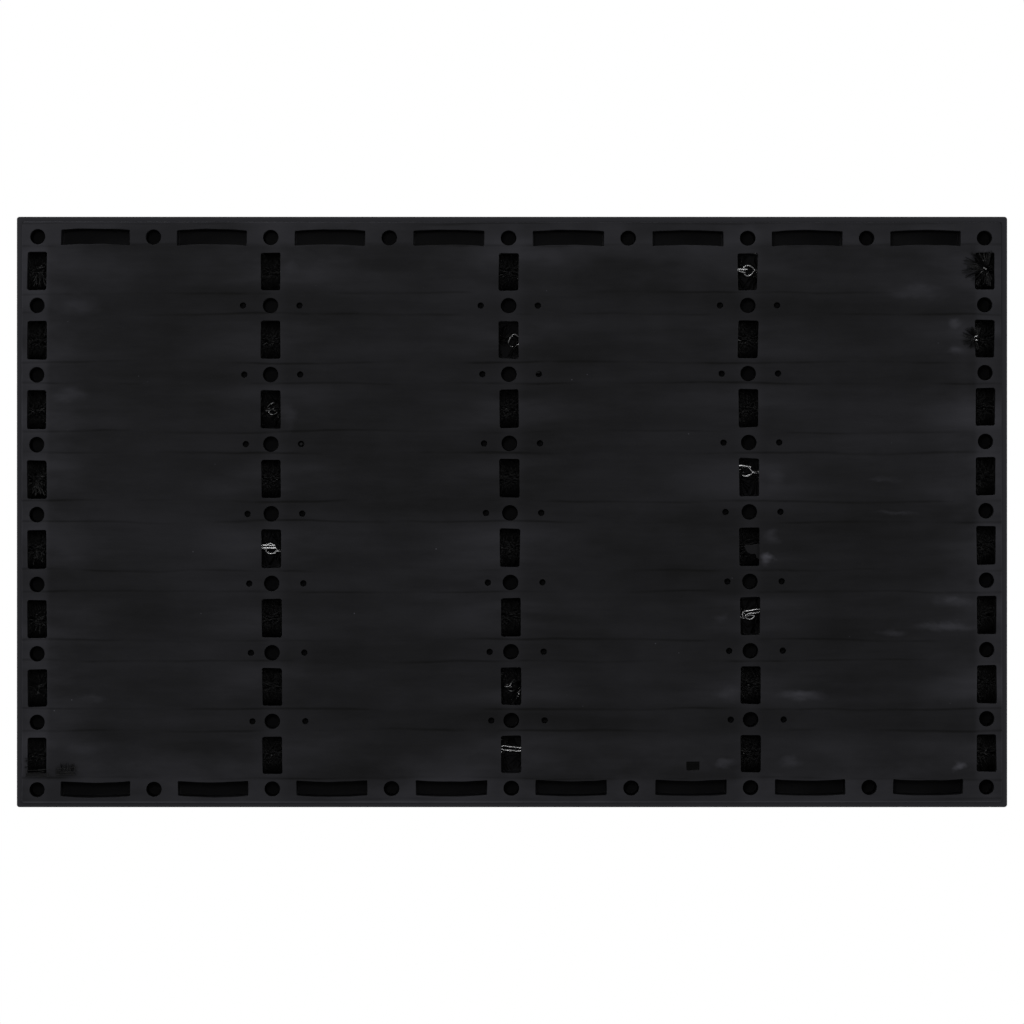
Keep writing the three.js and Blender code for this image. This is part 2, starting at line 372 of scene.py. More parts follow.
# The channels, from above
CHANNEL_EASE = 0.0012
CHANNEL_CORNER = 0.002
channels = []
for x in column_x:
    for y in row_y:
        rings = []
        for widen, deep in reversed(recess(HEIGHT - WEB, ease=CHANNEL_EASE)):
            half = (channel_length / 2 + widen, channel_width / 2 + widen)
            rings.append(rounded_ring((x, y), half, CHANNEL_CORNER + widen, HEIGHT - deep))
        channels.append(rings)
mould(moulding, bodies("channels", channels))

# The tunnels that join a row's channels, and run on into the border
TUNNEL_STEPS = 40
tunnels = []
section = rounded_ring((0, 0), (TUNNEL_WIDTH / 2, (ROOF - WEB) / 2), CHANNEL_CORNER, 0, 4)
reach_x = line_x[0] + WINDOW_LENGTH / 2
for y in row_y:
    centre = Vector((0, y, (WEB + ROOF) / 2))
    rings = []
    for k in range(TUNNEL_STEPS + 1):
        x = reach_x * (2 * k / TUNNEL_STEPS - 1)
        rings.append([centre + Vector((x, p.x, p.y)) for p in section])
    tunnels.append(rings)
mould(moulding, bodies("tunnels", tunnels))

# The windows, from below
WINDOW_CORNER = 0.0016
WINDOW_DEPTH = ROOF - 0.0015
RECESS_EASE = 0.0004
half = (WINDOW_LENGTH / 2, TUNNEL_WIDTH / 2)
windows = []
for x in line_x:
    for y in row_y:
        window = from_below((x, y), half, WINDOW_CORNER, WINDOW_DEPTH, shape=hand_cut, ease=RECESS_EASE)
        windows.append(window)
mould(moulding, bodies("windows", windows))

# The pockets that core out the thick places: round ones where bars and ribs cross, and long ones in
# the two long borders, bowed a little towards the mat's edge
POCKET_DEPTH = 0.015
ROUND_POCKET = 0.0118
RAIL_POCKET = (0.0535, 0.0118)
RAIL_CORNER = 0.0008
RAIL_BOW = 0.0011
RAIL_STEPS = 12


def bowed(point, centre):
    """A point on a long pocket's ring, roughly filed and moved with the pocket's bow."""
    along = (point.x - centre[0]) / (RAIL_POCKET[0] / 2)
    outwards = copysign(RAIL_BOW, centre[1]) * (0.5 - along * along)
    return point.lerp(hand_cut(point), 0.5) + Vector((0, outwards, 0))


pockets = []
rounds = [(x, y) for x in line_x for y in rib_y]
rounds += [(x, y) for x in column_x for y in (rib_y[0], rib_y[-1])]
half = (ROUND_POCKET / 2, ROUND_POCKET / 2)
for centre in rounds:
    pockets.append(from_below(centre, half, ROUND_POCKET / 2, POCKET_DEPTH, 8, ease=RECESS_EASE))
rail_x = [x + side * column_pitch / 4 for x in column_x for side in (-1, 1)]
for centre in [(x, y) for x in rail_x for y in (rib_y[0], rib_y[-1])]:
    rings = []
    for widen, deep in recess(POCKET_DEPTH, ease=RECESS_EASE):
        half = (RAIL_POCKET[0] / 2 + widen, RAIL_POCKET[1] / 2 + widen)
        ring = rounded_ring(centre, half, RAIL_CORNER + widen, deep, 3)
        longer = []
        for p, q in zip(ring, ring[1:] + ring[:1]):
            longer.append(p)
            if abs(p.x - q.x) > RAIL_POCKET[0] / 2:
                longer += [p.lerp(q, k / RAIL_STEPS) for k in range(1, RAIL_STEPS)]
        rings.append([bowed(p, centre) for p in longer])
    pockets.append(rings)
mould(moulding, bodies("pockets", pockets))

# The blind holes of the mould's pins, and the blank recess of its date plug
PIN_HOLE = 0.0048
PIN_DEPTH = 0.008
PIN_NEAR = (0.021, -0.001)  # from a bar's middle at the first rib, and the change at each rib
PIN_FAR = (-0.022, -0.0005)
PLUG = (0.010, 0.007)
PLUG_DEPTH = 0.0012
plug_place = (0.2385 - LENGTH / 2, 0.032 - WIDTH / 2)
plug_half = (PLUG[0] / 2, PLUG[1] / 2)
pins = [from_below(plug_place, plug_half, 0.0004, PLUG_DEPTH, 3, ease=0.0002, floor_ease=0.0002)]
half = (PIN_HOLE / 2, PIN_HOLE / 2)
for x in line_x[1:-1]:
    for j, y in enumerate(rib_y[1:-1]):
        for offset, drift in (PIN_NEAR, PIN_FAR):
            centre = (x + offset + drift * j, y)
            hole = from_below(centre, half, PIN_HOLE / 2, PIN_DEPTH, 5, ease=0.0003, floor_ease=0.0006)
            pins.append(hole)
mould(moulding, bodies("pins", pins))

# Two pins had worn: one left a core standing in its hole, and one a flap over it
cores = []
for line, rib, offset, radius, top in ((1, 2, PIN_FAR, 0.0011, 0.0007), (2, 1, PIN_FAR, 0.0017, 0.0008)):
    x = line_x[line] + offset[0] + offset[1] * rib
    y = rib_y[rib + 1]
    half = (radius, radius) if line == 1 else (radius * 0.9, 0.0008)
    middle = (x, y) if line == 1 else (x + 0.0006, y + 0.0014)
    cores.append([rounded_ring(middle, half, radius, z, 4) for z in (top, PIN_DEPTH + 0.001)])
mould(moulding, bodies("cores", cores), "UNION")

# The scraping grooves of the face: short ones across each rib, and long ones round the border and
# along the bars
GROOVE_DEPTH = 0.0011
GROOVE_WIDTH = 0.0026
GROOVE_PITCH = 0.005
GROOVE_ENDS = 0.008  # what the short grooves leave free of a channel's length
BORDER_GROOVES = 0.0045  # the pitch of those round the border
BORDER_GAP = 0.004  # between their ends at a corner


def groove(start, end):
    """A V-shaped cutter along the face from one place to another."""
    start, end = Vector((*start, HEIGHT)), Vector((*end, HEIGHT))
    ahead = (end - start).normalized()
    aside = ahead.cross(Vector((0, 0, 1))) * GROOVE_WIDTH / 2
    rise = GROOVE_WIDTH / 2 * 0.6
    lift = Vector((0, 0, rise))
    wider = 1 + rise / GROOVE_DEPTH
    section = [aside * wider + lift, Vector((0, 0, -GROOVE_DEPTH)), lift - aside * wider]
    return [[p + q for q in section] for p in (start, end)]


grooves = []
count = int((channel_length - GROOVE_ENDS) / GROOVE_PITCH)
across = RIB_WIDTH / 2 + 0.001
for y in rib_y[1:-1]:
    for x in column_x:
        for k in range(count + 1):
            at = x + (k - count / 2) * GROOVE_PITCH
            grooves.append(groove((at, y - across), (at, y + across)))
end = rib_y[0] - RIB_WIDTH / 2
for x in line_x[1:-1]:
    for offset in (-GROOVE_PITCH, 0, GROOVE_PITCH):
        grooves.append(groove((x + offset, -end), (x + offset, end)))
for offset in (-BORDER_GROOVES, 0, BORDER_GROOVES):
    x = line_x[0] + offset
    y = rib_y[0] + offset
    for side in (-1, 1):
        grooves.append(groove((-x + BORDER_GAP, side * y), (x - BORDER_GAP, side * y)))
        grooves.append(groove((side * x, -y + BORDER_GAP), (side * x, y - BORDER_GAP)))
mould(moulding, bodies("grooves", grooves))

# A tongue of flash, where the rubber crept between the mould's halves and across one window
FLASH_PLACE = (3, 4)  # the window's line and row
FLASH_OUTLINE = [(9.5, 2.6), (3.4, 1.8), (1.0, 1.3), (-2.2, 1.5), (-4.1, 0.6), (-2.9, -2.4), (-1.5, -4.3)]
FLASH_OUTLINE += [(1.0, -5.6), (3.2, -5.4), (4.6, -5.7), (5.2, -8.3), (6.4, -9.0), (9.5, -9.4)]
flash_middle = Vector((line_x[FLASH_PLACE[0]], row_y[FLASH_PLACE[1]], 0))
flash_rings = []
for z, shrink in ((0.0011, 0.93), (0.0013, 1.0), (0.0015, 1.0), (0.0017, 0.95)):
    ring = []
    for towards, across in FLASH_OUTLINE:
        place = Vector((-(9.5 + (towards - 9.5) * shrink), -3 + (across + 3) * shrink, 0)) / 1000
        ring.append(flash_middle + place + Vector((0, 0, z + noise.noise(place * 400) * 0.0002)))
    flash_rings.append(ring)
mould(moulding, bodies("flash", [flash_rings]), "UNION")

# Places where handling has left the underside paler: (x, y, half length, half width, how much), in mm
BLOTS = [
    (-194, -36, 6, 6, 2.6), (-163, -190, 10, 5, 2), (-338, -192, 6, 5, 1.9), (-219, -139, 24, 6, 1.3),
    (-329, -87, 30, 5.5, 1.3), (-288, -91, 16, 3.5, 1), (-334, -68, 18, 6.5, 1.2), (-336, 122, 8, 6, 1.2),
    (-337, 143, 8, 6, 1), (-196, -19, 9, 7, 0.9), (-163, -138, 11, 7, 1), (167, 186, 9, 9, 0.7),
    (170, 73, 8, 16, 0.6), (-199, 26, 13, 14, 0.5), (-211, -189, 11, 5, 0.9), (334, 89, 17, 7, 0.8),
    (-307, 167, 30, 8, 0.8), (-291, -1, 24, 2.5, 0.7), (-280, 24, 18, 2.5, 0.5), (320, -141, 18, 4, 0.5),
    (330, 156, 22, 10, 0.5), (325, -180, 14, 8, 0.4), (-158, -80, 8, 4, 0.6),
]
BORDER_INNER = (0.352, 0.203)  # where the border begins, from the mat's middle


def black_rubber():
    """Pressed rubber, near black: paler streaks along the rows, which are painted sheen, faint lines under
    the ribs' edges, each a shallow dip with painted shade along it, a pale bloom beside the bars and the
    border, dust, and a fine grain."""
    made, nodes = material_named("black_rubber")
    place = nodes.node("ShaderNodeTexCoord", output="Object")
    x, y, z = [place.part(k) for k in range(3)]

    def mottle(scale, stretch=(1, 1, 1), detail=4.0, rough=0.55, low=0.35, high=0.65):
        moved = place.node("ShaderNodeVectorMath", {0: place, 1: stretch}, operation="MULTIPLY")
        return moved.noise(scale, detail, Roughness=rough).spread(low, high)

    def near(value, reach):
        return 1 - value.spread(0.0, reach)

    underside = near(z, 0.0006)
    across = y.maths("ABSOLUTE")
    lengthwise = x.maths("ABSOLUTE")
    to_line = (x + line_x[0]).maths("PINGPONG", column_pitch / 2)
    to_rib = (y + rib_y[0]).maths("PINGPONG", row_pitch / 2)
    # The sink lines along the ribs' edges: a real shallow dip in the bump, and painted shade that darkens
    # the colour along them
    drift = mottle(9, (1, 3, 1), 2.0, low=0.0, high=1.0) * 0.005 - 0.0025
    rib_sink_and_painted_shade = near((to_rib + drift - RIB_WIDTH / 2).maths("ABSOLUTE"), 0.0016)
    rib_sink_and_painted_shade = rib_sink_and_painted_shade * mottle(14, (0.7, 2.5, 1), 3.0, low=0.4, high=0.58)
    rib_sink_and_painted_shade = rib_sink_and_painted_shade * (0.35 + near(to_line, 0.11) * 0.65) * underside
    # Painted sheen: paler streaks along the rows, put into the colour where a rough sheen would lighten the
    # rubber
    painted_sheen_streaks = mottle(13, (0.4, 3.6, 1), 5.0, 0.62, 0.3, 0.72)
    patches = mottle(6, (1, 1.5, 1), 4.0, 0.55, 0.36, 0.66)
    outer = (lengthwise - BORDER_INNER[0]).maths("MAXIMUM", across - BORDER_INNER[1])
    border = outer.spread(-0.003, 0.002)
    beside = near((0.0 - outer).maths("MAXIMUM", 0.0), 0.055)
    bars = near(to_line, 0.0125)
    between = to_rib.spread(0.006, 0.019)
    bloom = near(to_line, 0.085) * between * mottle(10, (0.6, 2.4, 1), 4.0, 0.55, 0.4, 0.66)
    bloom = bloom * 0.6 + beside * mottle(12, (0.8, 1.6, 1), 4.0, 0.55, 0.4, 0.66) * 0.55
    smear = mottle(5, (0.6, 1.8, 1), 3.0, 0.5, 0.58, 0.76) * mottle(60, (0.3, 2, 1), 3.0, 0.6, 0.3, 0.7)
    cells = place.node("ShaderNodeTexVoronoi", {"Vector": place, "Scale": 75.0}, output="Distance")
    dust = near(cells, 0.05) * mottle(24, low=0.545, high=0.61)
    blots = 0.0
    ragged_x = x + (mottle(55, (1, 1.4, 1), 3.0, 0.6, 0.2, 0.8) - 0.5) * 0.008
    ragged_y = y + (mottle(70, (0.8, 1.3, 1), 3.0, 0.6, 0.2, 0.8) - 0.5) * 0.005
    for blot_x, blot_y, half_x, half_y, amount in BLOTS:
        aside = (ragged_x - blot_x / 1000) / (half_x / 1000)
        above = (ragged_y - blot_y / 1000) / (half_y / 1000)
        squares = aside * aside + above * above
        blots = near(squares.maths("SQRT"), 1.0) * amount + blots
    blots = blots * (0.45 + mottle(40, (0.5, 2, 1), 4.0, 0.6, 0.3, 0.7) * 0.75)
    clouds = mottle(48, (0.8, 1.3, 1), 4.0, 0.6, 0.3, 0.75)
    pale = painted_sheen_streaks * 0.42 + patches * 0.46 + clouds * 0.16 + bloom * 1.5 + smear * 0.7 + blots * 1.7
    pale = pale + (border * 0.5 + bars * 0.3) - rib_sink_and_painted_shade * 0.62
    hollow = near(z - 0.0155, 0.001) * z.spread(0.004, 0.006) * (0 - outer).spread(0.002, 0.004)
    face = z.spread(0.0192, 0.0198)
    scuffs = mottle(34, (1, 1, 1), 5.0, 0.65, 0.45, 0.72) * 0.5
    scuffs = scuffs + mottle(260, (0.5, 1, 1), 2.0, 0.5, 0.5, 0.7) * 0.3
    # Painted shade: the date plug's shallow recess is darkened in colour, as if it were a deep, shaded
    # hole, and is made less rough
    off_plug = (x - plug_place[0]).maths("ABSOLUTE") - plug_half[0]
    off_plug = off_plug.maths("MAXIMUM", (y - plug_place[1]).maths("ABSOLUTE") - plug_half[1])
    plug_painted_shade = near(off_plug, 0.0004) * (1 - underside)
    elsewhere = 0.15 + patches * 0.22 + hollow * 0.24 + face * (0.17 + scuffs) - plug_painted_shade * 0.5
    pale = pale.maths("MAXIMUM", -0.12) * underside + (1 - underside) * elsewhere
    # Painted highlight: a paler band along the lip round the mat's edge
    from_edge = (LENGTH / 2 - lengthwise).maths("MINIMUM", WIDTH / 2 + DRAWN_EDGES[1][1] - across)
    lip_painted_highlight = near(from_edge - 0.0036, 0.0012) * near(z - 0.0009, 0.0008)
    pale = pale + lip_painted_highlight * 1.35 + dust * underside * 7.0
    tone = pale.between((0.0042, 0.0042, 0.0051), (0.0235, 0.0235, 0.0280), clamp_factor=False)
    grain = mottle(1400, detail=3.0, rough=0.6, low=0.0, high=1.0)
    orange_peel = mottle(180, (1, 1.6, 1), detail=3.0, low=0.0, high=1.0)
    height = grain * 0.00006 + orange_peel * 0.0002 + rib_sink_and_painted_shade * -0.0003
    relief = nodes.node("ShaderNodeBump", {"Height": height, "Strength": 0.6, "Distance": 1.0})
    dull = 0.62 + patches * 0.12 - bloom * 0.06 - plug_painted_shade * 0.4
    nodes.surface({"Base Color": tone, "Roughness": dull, "Specular IOR Level": 0.28, "Normal": relief})
    return made


moulding.data.materials.clear()
moulding.data.materials.append(black_rubber())

# Cut across at an even pitch, so that the large flat faces can draw along with the rest
SETTLE_PITCH = 0.0125
SETTLE_OFFSET = 0.00021  # keeps the cuts off the moulding's own corners
bm = bmesh.new()
bm.from_mesh(moulding.data)
for half, normal in ((LENGTH / 2, Vector((1, 0, 0))), (WIDTH / 2, Vector((0, 1, 0)))):
    for k in range(1, int(2 * half / SETTLE_PITCH)):
        plane = normal * (-half + k * SETTLE_PITCH + SETTLE_OFFSET)
        everything = bm.verts[:] + bm.edges[:] + bm.faces[:]
        bmesh.ops.bisect_plane(bm, geom=everything, plane_co=plane, plane_no=normal, dist=1e-6)
bm.to_mesh(moulding.data)
bm.free()
settle(moulding)
moulding.data.shade_smooth()
moulding.data.set_sharp_from_angle(angle=radians(35))
weigh = moulding.modifiers.new("weigh", "WEIGHTED_NORMAL")
weigh.keep_sharp = True
weigh.weight = 80
flat_mesh(moulding)
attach(moulding, "root")
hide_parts("rubber_moulding")


# ---- Twisted wires ---------------------------
# Each brush is held by one galvanised steel wire, folded in half and twisted round the bristles. The
# fold is left as a small loop at the brush's +X end, and the two cut ends show at the other.
STRAND = 0.0014
TWIST_PITCH = 0.010
STRAND_OFFSET = 0.00078  # from the brush's axis to the middle of each strand
MEETING_LINES = [3, 2, 1, 3, 1, 3, 2, 2]  # the window line where each row's two brushes meet
# How two brushes meet in each row's window: the loop of the second, and the two cut ends of the first.
# Each is a path of points from the window's middle, in millimetres towards -X, +Y and +Z.
LOOPS = [
    [(7.6, 1.7, 0.8), (5.6, 2.2, 0.2), (3.9, 4, 0), (0.5, 5.6, 0), (-2.5, 3.9, 0), (-3, 1.3, 0)]
    + [(-2.1, -1.4, 0), (0.5, -3, 0), (3.4, -1.6, 0), (5.4, 0.9, 0.2), (7.6, 1.4, 0.8)],
    [(10.4, 0.6, 1), (7, 3.3, 0), (4.1, 4.8, -0.3), (1.7, 2.7, 0), (-0.2, -1.1, 0.6), (0.6, -3.8, 2.5)]
    + [(3.4, -5, 2.8), (5.4, -4.3, 0.2), (7.4, -3.2, 0), (10.4, -0.6, 1)],
    [(9.1, 0.6, 3), (4.5, 4.2, 3.5), (0.8, 5.3, 3.5), (-2.7, 2.7, 4), (-2.7, -1.1, 4), (0.8, -3.8, 4)]
    + [(4.5, -1.9, 3.5), (9.1, -0.6, 3)],
    [(6.4, 4, 0.8), (3.9, 4.3, 0.2), (2.2, 5.2, 0), (0.6, 7, 0.4), (-3, 7.8, 2.2), (-5.8, 6, 3)]
    + [(-5.9, 3, 2), (-4.4, 1.6, 0.3), (-1.6, 1, 0), (1.4, 1.9, 0), (3.6, 3.6, 0.2), (6.4, 3.7, 0.8)],
    [(6.6, -1.7, 0.8), (4.2, -1.2, 0.2), (2.3, 1.4, 0), (-0.9, 4, 0), (-4.1, 2.7, 0), (-4.9, 0, 0)]
    + [(-3.9, -2.7, 0), (-1.1, -3.9, 0), (1.8, -3.2, 0), (4, -1.9, 0.2), (6.6, -2, 0.8)],
    [(8.3, 4.4, 0), (6.1, 5.2, 0), (0.8, 4.4, 0), (-3, 3.9, 0), (-5.4, 2.4, 0), (-4.9, -0.2, 1.2)]
    + [(-1.5, -0.2, 2.4), (1.7, 0.5, 1.4), (3.6, -0.4, 0.6), (1.2, -2.5, 0), (-2.1, -1.9, 0)]
    + [(-3.3, 0, -0.2), (0.3, 2, -0.2), (6.1, 2.5, 0), (8.3, 3.6, 0)],
    [(9.1, 2.7, 3), (6, 5.7, 2.6), (3, 6, 0.6), (1.1, 3.4, 0.2), (-0.8, 0.6, 0.4), (-2.3, -3, 2.6)]
    + [(1.5, -4.2, 3.5), (6, -1.5, 3.4), (9.1, 1.9, 3)],
    [(11, 4.6, 0), (5.8, 4.9, 0), (0, 5.6, 0), (-5.8, 6.2, 0), (-9.4, 5.4, 0.4), (-5.8, 3.2, 0)]
    + [(0, 2.8, 0), (5.8, 2.2, 0), (11, 3.6, 0)],
]
ENDS_A = [
    [(-9, 2.7, -2), (-4.4, 2.5, -2), (0.2, 2.3, -2)],
    [(-12, 0, 2.5), (-9, 0.4, 2.5), (-6.6, 0.7, 2)],
    [(-6, 0.4, 3), (-1.5, 1.1, 3), (3.2, -1.2, 1.2)],
    [(-9.4, 9, -1.5), (-4.8, 9.2, -1.5), (1.9, 7.9, -1.5)],
    [(-9, 2.6, -1.8), (-4.4, 2.6, -1.8), (2.4, 2.6, -1.8)],
    [(-7.6, -1.1, 3), (-5.6, -1.4, 3.4), (-3.8, -1.9, 3.4)],
    [(-6.8, 0.8, 3), (-4, 0.8, 3.2), (-2.3, 0.8, 3.3)],
    [(-10, 0.6, 1.5), (-8.2, 0.9, 0.6), (-6.6, 1.6, -0.6)],
]
ENDS_B = [
    [(-9, 1.4, -2), (-4.4, 0.4, -2), (-1.4, -0.6, -2)],
    [(-12, -1.5, 2.5), (-9, -2, 2.5), (-7.2, -2.6, 2)],
    [(-6, -1.1, 3), (0, 0, 3), (2.4, 2, 1.4)],
    [(-9.4, 3.3, 3), (-7.9, 3.3, 3), (-3.3, 4.1, 3)],
    [(-9, 0.4, -1.8), (-4.8, 0.4, -1.8), (2.9, 0.4, -1.8)],
    [(-7.6, 1.1, 3.5), (-5, 1.6, 3.6), (-3, 1.9, 3.6)],
    [(-6.8, -0.6, 3), (-3, -0.8, 3.2), (0.4, -1, 3.3)],
    [(-12, -1, 3), (-10.6, -1.6, 3), (-9.4, -2, 3)],
]
# The cut ends at the -X border: inside the window, except where two brushes' ends have sprung out of it
FAR_END = ([(-3, 0.4, 0), (1, 1.6, -1.2)], [(-3, -0.4, 0), (1, -1.3, -1.2)])
ROW1_A = [(-4, 0.6, -2), (-0.8, 2, -6), (-0.4, 2.6, -8.7)]
ROW1_B = [(-4, -0.4, -2), (0.4, 1.2, -5), (1, 1.8, -8.2)]
ROW2_A = [(-6, 0.6, -2), (-5.2, 1.6, -6), (-6.4, 1.8, -8.9), (-7.8, 1.9, -9.3)]
ROW2_B = [(-6, -0.6, -2), (-5, -1, -6), (-6.2, -1.1, -8.9), (-7.7, -1.2, -9.3)]
FAR_ENDS = {0: (ROW1_A, ROW1_B), 1: (ROW2_A, ROW2_B)}
BORDER_LOOP = [(4.8, 0.6, 0), (1.9, 3, 0.2), (-1.2, 3.9, 0.3), (-3.6, 2.6, 0.2), (-4.4, 0.1, 0)]
BORDER_LOOP += [(-3.5, -2.6, -0.2), (-1, -3.9, -0.3), (2.1, -2.9, -0.2), (4.8, -0.6, 0)]


def sweep(name, paths, radius, sides):
    """Round rods of one radius along paths of points, as one mesh with a map of (around, along)."""
    verts, faces, uvs = [], [], []
    turns = [2 * pi * k / sides for k in range(sides)]
    for number, path in enumerate(paths):
        first = len(verts)
        ahead = [(q - p).normalized() for p, q in zip(path, path[1:])]
        ahead = [ahead[0]] + [(p + q).normalized() for p, q in zip(ahead, ahead[1:])] + [ahead[-1]]
        side = ahead[0].orthogonal().normalized()
        for point, forward in zip(path, ahead):
            side = (side - forward * side.dot(forward)).normalized()
            up = forward.cross(side)
            verts += [point + (side * cos(a) + up * sin(a)) * radius for a in turns]
        shade = (number * 0.618) % 0.9
        last = len(path) - 1
        for row in range(last):
            for k in range(sides):
                after = (k + 1) % sides
                low, high = first + row * sides, first + (row + 1) * sides
                faces.append((low + k, low + after, high + after, high + k))
                u, w, v, t = shade + k / sides * 0.1, 0.1 / sides, row / last, (row + 1) / last
                uvs += [(u, v), (u + w, v), (u + w, t), (u, t)]
        for ring, along in ((range(sides - 1, -1, -1), 0.0), (range(sides), 1.0)):
            start = first if along == 0.0 else first + last * sides
            faces.append([start + k for k in ring])
            middle = min(max(along, 0.02), 0.98)
            uvs += [(shade + 0.05 * (1 + cos(a)), middle + 0.02 * sin(a)) for a in turns]
    mesh = bpy.data.meshes.new(name)
    mesh.from_pydata(verts, [], faces)
    for layer in ("StrandMap", "OFBake"):
        mesh.uv_layers.new(name=layer).uv.foreach_set("vector", np.ravel(uvs))
    mesh.shade_smooth()
    mesh.set_sharp_from_angle(angle=radians(70))
    return new_object(name, mesh)


def rounded(points, steps=5):
    """A smooth path through points."""
    ends = [points[0] * 2 - points[1]] + list(points) + [points[-1] * 2 - points[-2]]
    path = []
    for p0, p1, p2, p3 in zip(ends, ends[1:], ends[2:], ends[3:]):
        for k in range(steps):
            t = k / steps
            point = p1 * 2 + (p2 - p0) * t + (p0 * 2 - p1 * 5 + p2 * 4 - p3) * t * t
            path.append((point + (p1 * 3 - p0 - p2 * 3 + p3) * t * t * t) / 2)
    return path + [points[-1]]


def galvanised_steel():
    """Zinc-coated wire: bright, with a dull, cloudy coat."""
    made, nodes = material_named("galvanised_steel")
    place = nodes.node("ShaderNodeTexCoord", output="Object")
    cloud = place.noise(900.0, 3.0)
    tone = place.noise(260.0, 2.0).between((0.72, 0.73, 0.74), (0.97, 0.97, 0.98))
    relief = nodes.node("ShaderNodeBump", {"Height": cloud * 0.00005, "Strength": 0.5, "Distance": 1.0})
    dull = 0.17 + cloud * 0.16
    nodes.surface({"Base Color": tone, "Metallic": 1.0, "Roughness": dull, "Normal": relief})
    return made


steel = galvanised_steel()
low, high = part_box("brush_wire_row1_second")
wire_z = high.z - STRAND
TWIST_STEPS = 10  # in each turn
END_LENGTH = 0.004  # from the twist's end to the first point of the cut ends
FOLD_BEND = 0.012  # over how long the twist bends from its own line to the loop's
END_BEND = 0.008


def from_window(middle, path):
    """Points given from a window's middle, as places on the mat."""
    return [middle + Vector((-towards, across, up)) / 1000 for towards, across, up in path]


for r, (loop, *cut_ends) in enumerate(zip(LOOPS, ENDS_A, ENDS_B)):
    meeting = Vector((line_x[MEETING_LINES[r]], row_y[r], wire_z))
    for which in ("first", "second"):
        node = f"brush_wire_row{r + 1}_{which}"
        if which == "first":
            fold = from_window(Vector((line_x[0], row_y[r], wire_z)), BORDER_LOOP)
            ends = [from_window(meeting, path) for path in cut_ends]
        else:
            fold = from_window(meeting, loop)
            close = Vector((line_x[-1], row_y[r], wire_z))
            ends = [from_window(close, path) for path in FAR_ENDS.get(r, FAR_END)]
        neck = (fold[0] + fold[-1]) / 2 + Vector((-0.001, 0, 0))
        last = (ends[0][0] + ends[1][0]) / 2
        last_x = ends[0][0].x + END_LENGTH
        turns = max(2, round((neck.x - last_x) / TWIST_PITCH))
        strands = []
        for phase in (pi, 0):
            strand = []
            for k in range(turns * TWIST_STEPS + 1):
                share = k / (turns * TWIST_STEPS)
                angle = 2 * pi * turns * share + phase
                x = neck.x + (last_x - neck.x) * share
                bow = Vector((0, neck.y - row_y[r], neck.z - wire_z)) * exp((x - neck.x) / FOLD_BEND)
                bow += Vector((0, last.y - row_y[r], last.z - wire_z)) * exp((last_x - x) / END_BEND)
                offset = Vector((0, -cos(angle), sin(angle))) * STRAND_OFFSET
                strand.append(Vector((x, row_y[r], wire_z)) + bow + offset)
            strands.append(strand)
        if (strands[0][-1].y < strands[1][-1].y) != (ends[0][-1].y < ends[1][-1].y):
            ends.reverse()
        upper = list(reversed(strands[0][:-1] + rounded([strands[0][-1]] + ends[0])))
        lower = strands[1][:-1] + rounded([strands[1][-1]] + ends[1])
        path = upper[:-1] + rounded([upper[-1]] + fold[1:-1] + [lower[0]]) + lower[1:]
        wire = sweep(f"wire_row{r + 1}_{which}", [path], STRAND / 2, 6)
        wire.data.materials.append(steel)
        settle(wire)
        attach(wire, "root")
        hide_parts(node)


# ---- Bristles --------------------------------
# Stiff black polypropylene, cut to length and caught between the two strands, so that they stand out
# from the wire in a double spiral. The channel's floor and walls turn them up, and a tunnel folds them.
BRISTLE = 0.00052  # diameter
BRISTLES_PER_METRE = 21000.0
HOUSE_GAP = 0.0004  # between the bristles and the rubber
SPIRAL_SCATTER = 0.42  # radians
WINDOW_BRISTLES = 330.0
BARE = 0.012  # how far on either side of their meeting two brushes are thin
COVER = [0.0, 0.08, 0.6, 0.01, 0.0, 0.01, 0.45, 0.01]  # the share of bristles left there in each row


